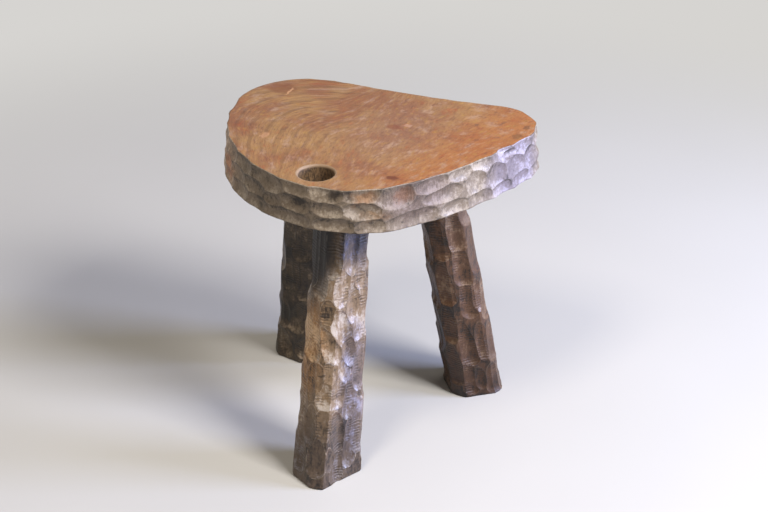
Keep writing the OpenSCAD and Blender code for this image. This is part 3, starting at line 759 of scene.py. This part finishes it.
def leg_blank(name):
    """The uncut post of a leg, with its flats, its level shoulder and its worn foot."""
    leg = LEGS[name]
    heading, run = math.radians(leg.heading), UNDER_Z * math.tan(math.radians(leg.lean))
    toward_foot = run * np.array([math.cos(heading), math.sin(heading)])
    bearings = np.arange(LEG_COLS) * 360 / LEG_COLS
    around = np.radians(bearings)
    caps = [0.15, 0.4, 0.65, 0.85]
    rows = [(0, FOOT_EASE, share) for share in caps] + [(0, FOOT_EASE, 1), (0.25, 0.6, 1), (0.8, 0.2, 1)]
    rows += [(z, 0, 1) for z in np.linspace(1.6, UNDER_Z, LEG_ROWS)] + [(UNDER_Z, 0, s) for s in caps[::-1]]
    levels, inset, shrink = np.array(rows).T
    t = 1 - levels / UNDER_Z
    r = (leg.top_w + t * (leg.foot_w - leg.top_w)) / 2
    radius, full = r[:, None], r[:, None] + SKIN
    for facing, left in FLATS[name]:
        toward = np.cos(around - math.radians(facing))
        flat = full * (1 - (1 - left) * (1 + t[:, None]) / 2) / np.where(toward > 0.3, toward, 1) - SKIN
        radius = np.where(toward > 0.3, np.minimum(radius, flat), radius)
    radius = (radius - inset[:, None]) * shrink[:, None]
    centre = leg.top + t[:, None] * toward_foot
    way = np.column_stack([np.cos(around), np.sin(around), np.zeros(LEG_COLS)])
    rings = radius[..., None] * way + np.column_stack([centre, levels])[:, None]
    return skin("leg_" + name + "_hewn", rings, way, side=(shrink == 1)[:, None], free=1.0, round=bearings,
                height=levels[:, None], mm_per_round=np.radians(r)[:, None])


def turned(profile, place, segments=96):
    """A turned solid from a profile of (radius, height) in mm, moved to its place."""
    angles = np.arange(segments) * math.tau / segments
    rings = np.array([[(r * math.cos(a), r * math.sin(a), z) for a in angles] for r, z in profile])
    top = (len(profile) - 1) * segments
    faces = ring_faces(len(profile), segments)[0]
    faces += [tuple(range(segments))[::-1], tuple(range(top, top + segments))]
    piece = mesh_piece("turned", (rings.reshape(-1, 3) * MM).tolist(), faces)
    piece.data.transform(place)
    return piece


def leg_axis(leg):
    """The place of a leg's axis: its own frame starts at the shoulder and looks up the tenon."""
    place = Matrix.Translation(at(*leg.top, UNDER_Z))
    return place @ Matrix.Rotation(math.radians(leg.heading), 4, "Z") @ Matrix.Rotation(-math.radians(leg.lean), 4, "Y")


def mortise_depth(leg):
    """Depth of a mortise along its axis, so that its highest edge stays under the sitting face."""
    lean = math.radians(leg.lean)
    return (SEAT_T - MORTISE_COVER - (TENON_R + MORTISE_GAP) * math.sin(lean)) / math.cos(lean)


def kerf_blade(leg, depth):
    """The tapered blade that saws a kerf. It lies across the slab's grain."""
    ends = (depth - KERF_DEPTH, KERF_THIN), (depth + KERF_OVER, KERF_THICK)
    corners = [Vector((x * t / 2, y * (TENON_R + 2), z)) * MM for z, t in ends for y in (-1, 1) for x in (-1, 1)]
    faces = [(0, 2, 3, 1), (4, 5, 7, 6), (0, 1, 5, 4), (2, 6, 7, 3), (0, 4, 6, 2), (1, 3, 7, 5)]
    piece = mesh_piece("kerf", corners, faces)
    piece.data.transform(leg_axis(leg) @ Matrix.Rotation(-math.radians(leg.heading), 4, "Z"))
    return piece


def build_leg(name, finish):
    """Cuts a leg's blank, joins its tenon and saws the kerf."""
    piece, leg = leg_blank(name), LEGS[name]
    low, high, seed = UNSEEN[name]
    rest = rows_of_marks(low, high, UNDER_Z, round((high - low) / EVERY_DEG), round(UNDER_Z / EVERY_MM), 0, seed)
    marks = at_height(SEEN[name], UNDER_Z) + rest
    gouge(piece, marks, seed, Cut_depth_mm=CUT_DEPTH * leg.deeper, Swing_radius_mm=leg.swing_r, Finish=finish)
    depth = mortise_depth(leg)
    end = depth - TENON_GAP
    tenon = [(TENON_R, -TENON_R), (TENON_R, end - TENON_BEVEL), (TENON_R - TENON_BEVEL, end)]
    combine(piece, turned(tenon, leg_axis(leg)), "UNION")
    combine(piece, kerf_blade(leg, depth), "DIFFERENCE")
    soften(piece)
    piece.data.materials.clear()
    piece.data.materials.append(finish)
    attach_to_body(piece, "root")
    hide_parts("leg_" + name)
    print(piece.name, len(piece.data.polygons), "faces from", len(marks), "marks")


for leg_name, wood in zip(LEGS, (FRONT_WOOD, RIGHT_WOOD, LEFT_WOOD)):
    build_leg(leg_name, wood)

# %% [markdown]
# ## The slab
# The rim is cut in two or three rows of long hollows at the nose and in overlapping scales towards
# the right corner. The marks give each cut's place round the rim, in 360ths of the way from the start
# of the nose, and its height above the underside in hundredths of the slab. The underside is left
# from a wider, shallower gouge. The arris round the sitting face is worn round, and nicked near the
# right corner and at the nose.

# %% Marks on the slab
SEEN_RIM = [
    [-55, 86, 90, 0.95, 2, 1.3], [-41, 85, 90, 1, 2, 1.3], [-60, 52, 92, 1, 1.5], [-47, 50, 92, 1, 1.5],
    [-33, 51, 92, 1, 1.5], [-56, 18, 92, 1, 1.5], [-43, 18, 92, 1, 1.5],
    [-28, 85, 92, 1, 1.5], [-9.5, 80, 88, 1.05, 3, 1.3], [4, 90, 90, 0.9, 1.5], [16, 88, 90, 1.05, 1.2],
    [31, 88, 92, 1, 1.2], [44, 76, 90, 1, 1.5, 2], [60, 83, 92, 0.9, 1.5, 1.2], [73.5, 88, 90, 0.9],
    [84, 90, 80, 1, 1.2], [96, 90, 84, 1, 1.2], [107.5, 88, 90, 1, 1.2],
    [-19.5, 51, 92, 1, 1.5], [-9, 42, 95, 0.9, 0.6, 0.8], [2, 51, 90, 1.2, 0.8, 0.9], [16, 51, 88, 1, 0.5, 0.9],
    [29.5, 51, 84, 1.2, 0.6], [66, 54, 92, 0.95, 2.2], [79, 60, 0, 1.15, 0.2, 1.9],
    [90.5, 57, -8, 1.2, 0.2, 1.9], [102, 55, -8, 1.2, 0.2, 1.9], [113, 57, -5, 1.15, 0.2, 1.9],
    [-30.5, 20, 92, 1, 1.2], [-18.5, 17, 95, 1, 0.8], [2, 15, 90, 1.05, 4], [20, 15, 90, 1.05, 1.2],
    [32, 15, 88, 1, 0.5], [54, 17, 90, 1.05, 3.5, 1.1], [69, 15, 90, 1, 0.8], [82, 13, 84, 1.1, 0.7],
    [94.5, 11, 80, 1.1, 0.6], [106, 13, 80, 1.1, 0.6], [117, 13, 85, 1, 0.8],
]
RIM_NICKS = [[97.5, 85, 90, 1.5, 0.05, 0.25], [94.5, 96, 90, 1.5, 0.08, 0.3], [12, 93, 90, 1.35, 0.15, 0.6]]
RIM_SEEN_FROM, RIM_SEEN_TO, RIM_EVERY_MM = -62, 120, 27
MM_PER_PLACE = RIM_LENGTH / 360
unseen = 360 - RIM_SEEN_TO + RIM_SEEN_FROM
RIM_MARKS = at_height(SEEN_RIM + RIM_NICKS, SEAT_T) + rows_of_marks(
    RIM_SEEN_TO, RIM_SEEN_TO + unseen, SEAT_T, round(unseen * MM_PER_PLACE / RIM_EVERY_MM), 3, 90, 5)
UNDER_MARKS = [[-150 + 26 * (i + (j % 2) / 2) + 8 * scatter(i, j), -120 + 17 * j + 6 * scatter(j, i),
                90 + 20 * (scatter(i + j, 3) - 0.5), 0.6 + 0.5 * scatter(i * 7 + j, 9)]
               for j in range(15) for i in range(12)]
print("marks on the rim:", len(RIM_MARKS), "and under the slab:", len(UNDER_MARKS))

# %% Build the slab
RIM_ROWS, UNDER_ROWS, TOP_ROWS, FLAT_R, FLAT_EASE = 60, 34, 8, 30, 6


def slab_blank(count=820):
    """The uncut slab: a fan of rings under it, up the rim, round both arrises and in over the top."""
    stations = [station(i * RIM_LENGTH / count) for i in range(count)]
    edge = np.array([p for p, _ in stations])
    way = np.array([w for _, w in stations])
    facing = way[:, 1] ** 6
    lean = END_FLARE * (1 - facing) - NOSE_DRAFT * facing
    arris = [(1.0, 0.0), (0.55, 0.12), (0.2, 0.45), (0.05, 0.8)]
    rim = arris + [(0.0, h) for h in np.linspace(1.2, SEAT_T - 1.2, RIM_ROWS)]
    rim += [(d, SEAT_T - h) for d, h in arris[::-1]]
    inner = np.linspace(0.03, 0.97, UNDER_ROWS)
    outer = np.linspace(0.03, 0.965, TOP_ROWS)[::-1]
    heart = edge.mean(0)

    def ring(inset, h, share=1.0):
        flat = edge + (lean * (1 - h / SEAT_T) - inset)[:, None] * way
        flat = heart + share * (flat - heart)
        return np.column_stack([flat, np.full(count, UNDER_Z + h)])

    rings = np.array([ring(0.0, 0.0, s) for s in inner] + [ring(d, h) for d, h in rim]
                     + [ring(0.0, SEAT_T, s) for s in outer])
    row = np.arange(len(rings))[:, None]
    under, at_rim = row < len(inner) - 1, (row >= len(inner)) & (row < len(inner) + len(rim))
    outward = np.where(at_rim[..., None], np.column_stack([way, np.zeros(count)]), under[..., None] * [0, 0, -1])
    gap = np.min([np.linalg.norm(rings[..., :2] - leg.top, axis=-1) for leg in LEGS.values()], axis=0)
    return skin("seat_hewn", rings, outward, side_rim=at_rim, side_under=under,
                free=np.where(under, np.clip((gap - FLAT_R) / FLAT_EASE, 0, 1), 1),
                mm_per_round=np.where(under, 1, MM_PER_PLACE),
                round=np.where(under, rings[..., 0], np.arange(count) * 360 / count),
                height=np.where(under, rings[..., 1], rings[..., 2] - UNDER_Z))


def rounded_hole():
    """Cutter for the finger hole, with a quarter round at both ends."""
    e, t = HOLE_EASE, SEAT_T
    bend = [(HOLE_R + e - e * math.sin(math.radians(a)), e - e * math.cos(math.radians(a))) for a in range(0, 91, 15)]
    profile = [(HOLE_R + e, -4)] + bend + [(r, t - h) for r, h in bend[::-1]] + [(HOLE_R + e, t + 4)]
    return turned(profile, Matrix.Translation(at(*HOLE, UNDER_Z)))


seat = slab_blank()
seat.data.materials.append(SITTING_FACE)
gouge(seat, RIM_MARKS, 5, Side="side_rim", Sweep_radius_mm=13.0, Swing_radius_mm=90.0, End_radius_mm=40.0,
      Finish=RIM_WOOD)
gouge(seat, UNDER_MARKS, 9, Side="side_under", Cut_depth_mm=1.3, Sweep_radius_mm=50.0, Swing_radius_mm=160.0,
      End_radius_mm=40.0, Least_cut_mm=0.0, Skin_mm=0.0, Period=9000.0, Finish=UNDER_WOOD)
combine(seat, rounded_hole(), "DIFFERENCE")
MORTISE_R = TENON_R + MORTISE_GAP
for leg in LEGS.values():
    low = MORTISE_R * math.tan(math.radians(leg.lean)) + 4
    combine(seat, turned([(MORTISE_R, -low), (MORTISE_R, mortise_depth(leg))], leg_axis(leg)), "DIFFERENCE")
print("slab:", len(seat.data.polygons), "faces, finishes", [m and m.name for m in seat.data.materials])

# %% [markdown]
# ## Inside the hole
# The wall of the hole was bored and never oiled, so it is rough. Dirt and painted shade make it
# dark, and it turns paler at its eased edge. Its faces are found by their distance from the hole's axis.

# %% Finish of the hole
def bored_wall():
    """Rough end grain, darkened by dirt and painted shade, with a paler edge at the sitting face."""
    material, place = new_material("bored_wall")
    rough_grain = noise(stretched(place, 1.0, 1.0, 0.4), 0.7, 4.0, 0.7)
    # Dark colours for dirt and painted shade in the hole, turning paler towards the sitting face.
    colour = mix(smooth_step(rough_grain, 0.35, 0.65), rgb(58, 44, 32), rgb(120, 94, 66))
    colour = mix(smooth_step(xyz(place)[2], 296.6, 299.2), colour, rgb(148, 122, 96))
    close(colour, 0.6, rough_grain, bump=0.5, specular=0.4)
    return material


seat.data.materials.append(bored_wall())
centres = np.zeros(len(seat.data.polygons) * 3)
seat.data.polygons.foreach_get("center", centres)
centres = centres.reshape(-1, 3) / MM
height = centres[:, 2]
from_axis = np.linalg.norm(centres[:, :2] - (HOLE - SHIFT), axis=1)
in_hole = (from_axis < HOLE_R + HOLE_EASE - A_HAIR) & (height > UNDER_Z) & (height < SEAT_H - A_HAIR)
index = np.zeros(len(centres), int)
seat.data.polygons.foreach_get("material_index", index)
index[(index == 0) & (height < UNDER_Z + 1)] = seat.data.materials.find("rough_underside")
index[in_hole] = len(seat.data.materials) - 1
seat.data.polygons.foreach_set("material_index", index)
soften(seat)
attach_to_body(seat, "root")
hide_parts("seat")
print("faces in the hole:", int(in_hole.sum()))

# %% [markdown]
# ## The wedges
# The three fox wedges sit inside the tenons, out of sight. They keep their own solids and get bare
# split wood.

# %% Wedges
def split_wood():
    """Bare wood split along its grain."""
    material, place = new_material("split_wedge_wood")
    fibre = noise(stretched(place, 1.0, 1.0, 0.1), 1.4, 4.0, 0.6)
    colour = mix(smooth_step(fibre, 0.3, 0.7), rgb(168, 124, 80), rgb(214, 176, 128))
    close(colour, 0.65, fibre, bump=0.2, specular=0.35)
    return material


wedge_wood = split_wood()
for name in LEGS:
    wedge = frame["nodes"]["wedge_" + name]
    wedge.data.materials.clear()
    wedge.data.materials.append(wedge_wood)
    print(wedge.name, "gets", wedge_wood.name)

# %% [markdown]
# ## Floor and light
# A plain pale floor keeps the stool's shadow and turns into the backdrop farther off. A large lamp
# stands high at the right, and a low blue one beside it gives the cool sheen on the rim and on the
# right flanks of the cuts. A small warm lamp over the nose, one behind and a dim world fill the rest
# at a plain level.

# %% Floor
BACKDROP = rgb(214, 212, 209)
FLOOR_FADES_FROM, FLOOR_FADES_TO = 500.0, 1200.0


def sees_backdrop(tree):
    """1 for a ray from the camera, from a mirror or through glass, and 0 for light on its way."""
    rays = node(tree, "ShaderNodeLightPath").outputs
    seen, mirrored, through = (Wire(rays["Is " + kind + " Ray"]) for kind in ("Camera", "Glossy", "Transmission"))
    return calc("MAXIMUM", seen, calc("MAXIMUM", mirrored, through))


def pale_floor():
    """A matt floor that turns into the backdrop farther off."""
    material, place = new_material("pale_floor")
    colour = mix(noise(place, 0.004), rgb(196, 193, 188), rgb(202, 199, 194))
    close(colour, 0.9, noise(place, 0.05), bump=0.05, specular=0.1)
    surface = place.tree.nodes["Material Output"].inputs["Surface"]
    far = smooth_step(vector_calc("LENGTH", place), FLOOR_FADES_FROM, FLOOR_FADES_TO)
    shine = out(node(place.tree, "ShaderNodeEmission", BACKDROP, 1.0))
    matt = Wire(surface.links[0].from_socket)
    reckon("ShaderNodeMixShader", (far * sees_backdrop(place.tree), matt, shine)).to(surface)
    return material


floor = mesh_piece("floor", [(-6, -6, 0), (6, -6, 0), (6, 6, 0), (-6, 6, 0)], [(0, 1, 2, 3)])
floor.data.materials.append(pale_floor())
floor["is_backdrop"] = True
print("floor: 12 m square")


# %% Lamps and world
LAMPS_AIM_AT = Vector((0, 0, 0.18))


def lamp(name, bearing_deg, height_deg, distance, size, power, colour):
    """A square lamp that looks at the stool from a bearing and a height, both in degrees."""
    light = bpy.data.lights.new(name, "AREA")
    light.shape, light.size, light.energy, light.color = "SQUARE", size, power, colour
    made = bpy.data.objects.new(name, light)
    a, h = math.radians(bearing_deg), math.radians(height_deg)
    way = Vector((math.cos(a) * math.cos(h), math.sin(a) * math.cos(h), math.sin(h)))
    made.location = LAMPS_AIM_AT + distance * way
    made.rotation_euler = (LAMPS_AIM_AT - made.location).to_track_quat("-Z", "Y").to_euler()
    bpy.context.scene.collection.objects.link(made)
    print("lamp:", name, power, "W")


lamp("window_right", 342, 42, 2.6, 0.8, 78, (1.0, 0.98, 0.97))
lamp("low_sky_right", 14, 13, 2.4, 0.8, 104, (0.52, 0.62, 1.0))
lamp("overhead_front", 258, 58, 2.6, 0.6, 24, (1.0, 0.92, 0.8))
lamp("overhead_back", 60, 66, 2.8, 1.2, 8, (1.0, 0.96, 0.9))


def pale_world(strength):
    """A dim room that lights the stool, and a bright backdrop past the floor."""
    world = bpy.data.worlds.new("pale_room")
    bpy.context.scene.world = world
    world.use_nodes = True
    tree = world.node_tree
    tree.nodes.clear()
    room = out(node(tree, "ShaderNodeBackground", rgb(226, 224, 220), strength))
    backdrop = out(node(tree, "ShaderNodeBackground", BACKDROP, 1.0))
    shown = reckon("ShaderNodeMixShader", (sees_backdrop(tree), room, backdrop))
    shown.to(node(tree, "ShaderNodeOutputWorld").inputs["Surface"])


pale_world(0.1)
bpy.context.scene.view_settings.view_transform = "Standard"

# %% Print the sizes and finish
visual_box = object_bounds()
boxes = {"cad": [list(c) for c in cad_box], "visual": [list(c) for c in visual_box]}
for name, box in boxes.items():
    print(name, [[round(v, 4) for v in corner] for corner in box])
